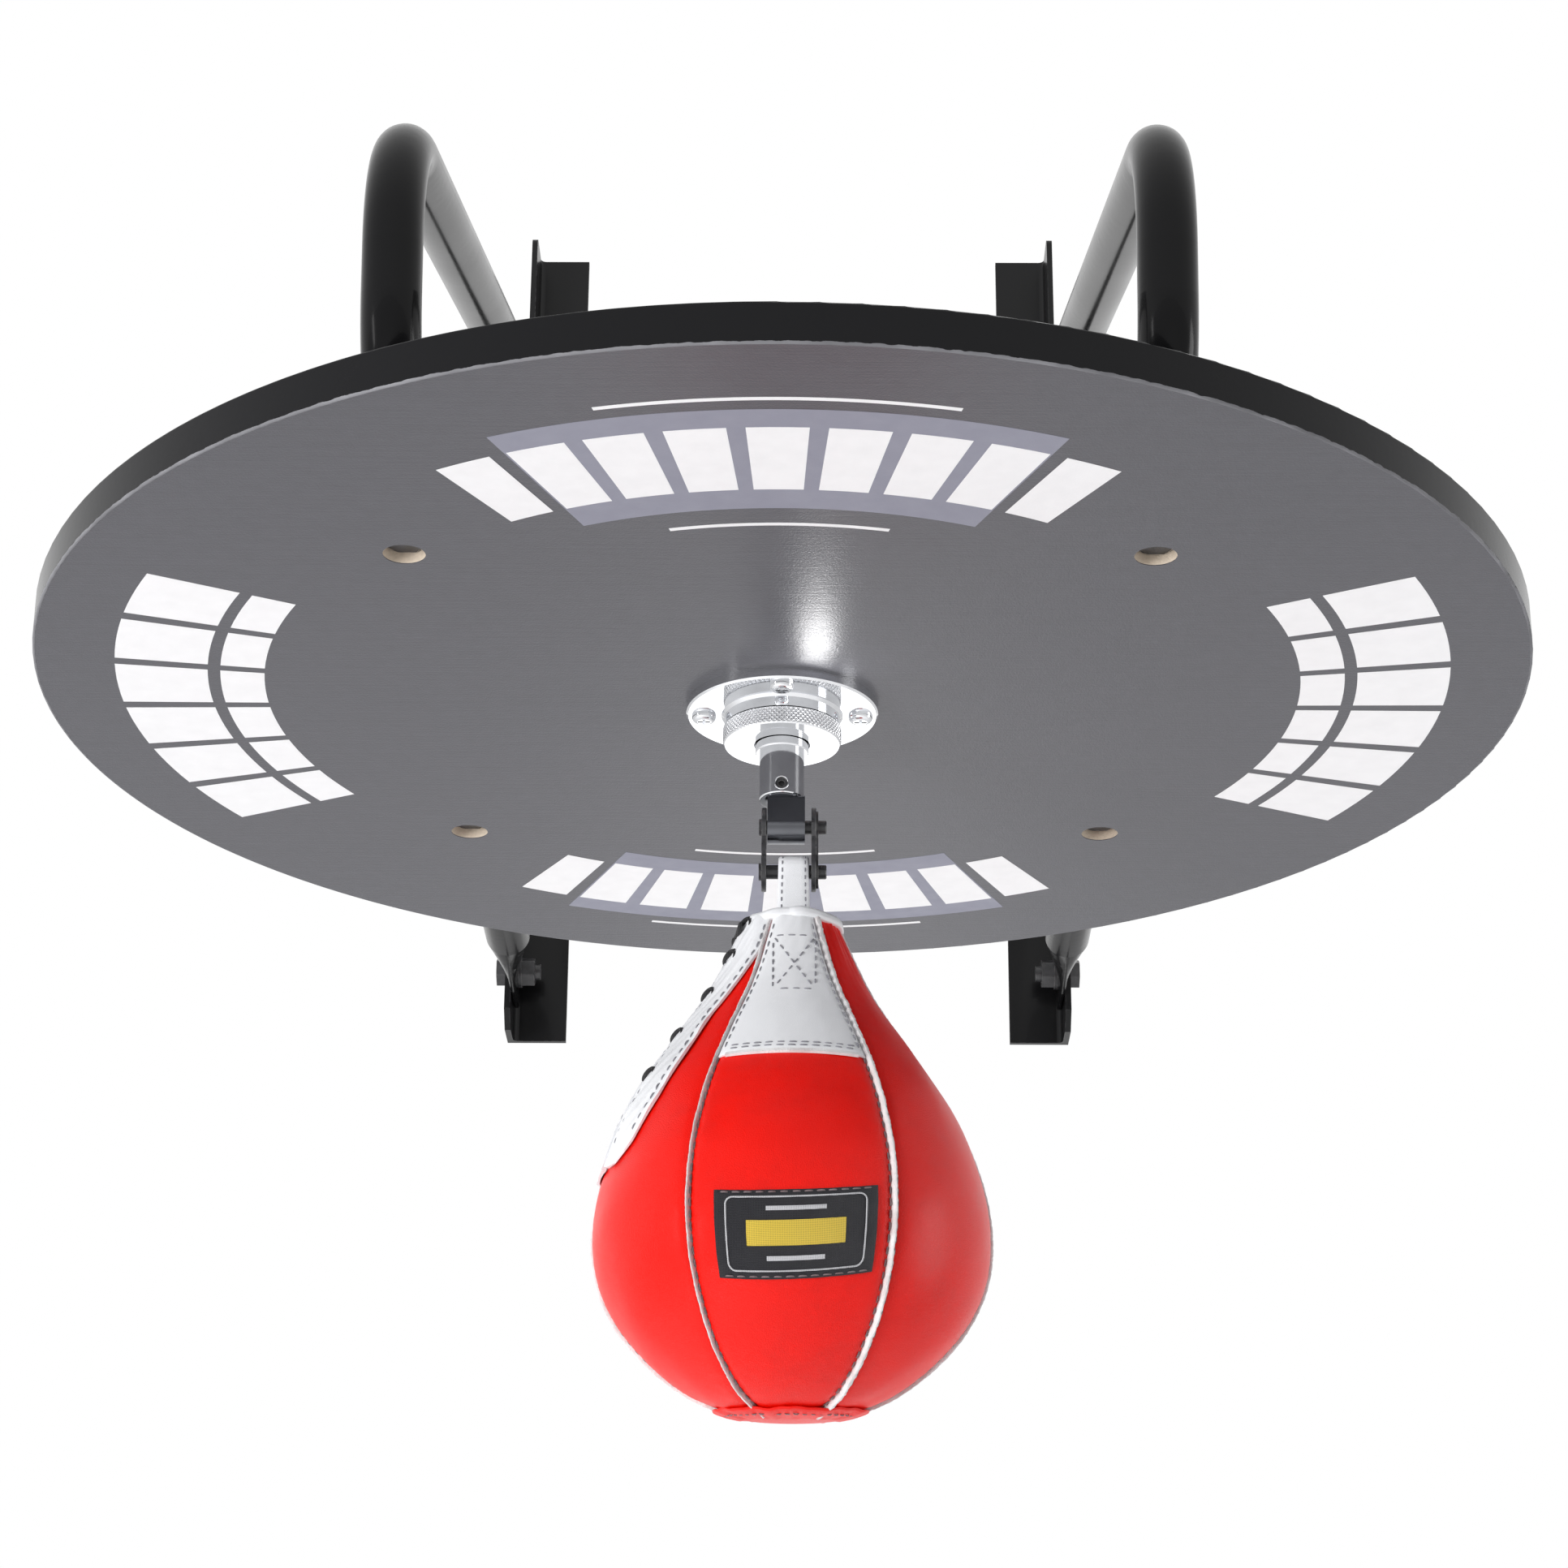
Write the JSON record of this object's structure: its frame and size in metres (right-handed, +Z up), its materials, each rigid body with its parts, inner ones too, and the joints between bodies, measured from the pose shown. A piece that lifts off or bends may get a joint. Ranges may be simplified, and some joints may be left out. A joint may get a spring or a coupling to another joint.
{
  "type": "speed bag platform",
  "caption": "Wall-mounted round rebound board on bent side tubes and angle rails, with a ball-bearing swivel, chain link and laced leather speed bag.",
  "frame": {"origin": "centre of the four wall-bolt holes, on the wall plane", "axes": "+X to the right when facing the wall, +Y into the wall, +Z up"},
  "size_m": [0.5999, 0.72, 0.75],
  "materials": {
    "rail_paint": "gloss black powder coat",
    "tube_paint": "high-gloss black enamel",
    "black_fastener": "black oxide hardware",
    "board_face": "dark grey melamine on MDF, satin, with white and grey printed blocks",
    "board_edge": "black edge band",
    "swivel_chrome": "bright chrome plate",
    "strap_chrome": "dark chrome plate",
    "bearing_steel": "ground bearing steel",
    "blackened_steel": "black oxide chain steel",
    "red_leather": "glossy red leather",
    "white_leather": "glossy white leather",
    "welt_leather": "raw-edged white leather piping",
    "lace_cord": "black flat lace",
    "label_weave": "black woven satin label, blank",
    "bladder_rubber": "black latex rubber"
  },
  "bodies": {
    "platform": {"rail_left": "rail_paint", "rail_right": "rail_paint", "side_tube_left": "tube_paint", "side_tube_right": "tube_paint", "rail_bolts": "black_fastener", "rail_washers": "black_fastener", "rail_nuts": "black_fastener", "board": "board_face", "edge_band": "board_edge", "board_bolts": "black_fastener", "counterbore_washers": "black_fastener", "board_washers": "black_fastener", "board_nuts": "black_fastener", "swivel_flange": "swivel_chrome", "flange_screws": "swivel_chrome", "knurled_collar": "swivel_chrome", "bearing_outer_race": "bearing_steel", "bearing_balls": "bearing_steel", "bearing_cage": "bearing_steel", "bearing_shields": "bearing_steel"},
    "spindle": {"spindle": "swivel_chrome", "circlip": "bearing_steel", "bearing_inner_race": "bearing_steel", "spindle_sleeve": "swivel_chrome", "grub_screw": "blackened_steel", "hook_strap": "strap_chrome", "pin_bush": "bearing_steel"},
    "chain_link": {"link_plate_left": "blackened_steel", "link_plate_right": "blackened_steel", "link_pin_upper": "blackened_steel", "link_pin_lower": "blackened_steel", "spring_clip": "blackened_steel"},
    "speed_bag": {"bag_loop": "white_leather", "bag_collar": "white_leather", "bag_panel_1": "red_leather", "bag_panel_2": "red_leather", "bag_panel_3": "red_leather", "bag_panel_4": "red_leather", "bag_panel_5": "red_leather", "bag_panel_6": "red_leather", "bag_welts": "welt_leather", "yoke_patch": "white_leather", "lacing_strip": "white_leather", "laces": "lace_cord", "woven_label": "label_weave", "bottom_patch": "red_leather", "bladder": "bladder_rubber", "bladder_valve": "bladder_rubber"}
  },
  "joints": [
    {"name": "spindle_spin", "type": "hinge", "parent": "platform", "child": "spindle", "pos_m": [0, -0.42, -0.244], "axis": [0, 0, 1], "continuous": true},
    {"name": "link_swing", "type": "hinge", "parent": "spindle", "child": "chain_link", "pos_m": [0.003, -0.42, -0.2772], "axis": [1, 0, 0], "range_deg": [-50, 50]},
    {"name": "bag_swing", "type": "hinge", "parent": "chain_link", "child": "speed_bag", "pos_m": [0.005, -0.42, -0.29625], "axis": [1, 0, 0], "range_deg": [-30, 30]}
  ]
}
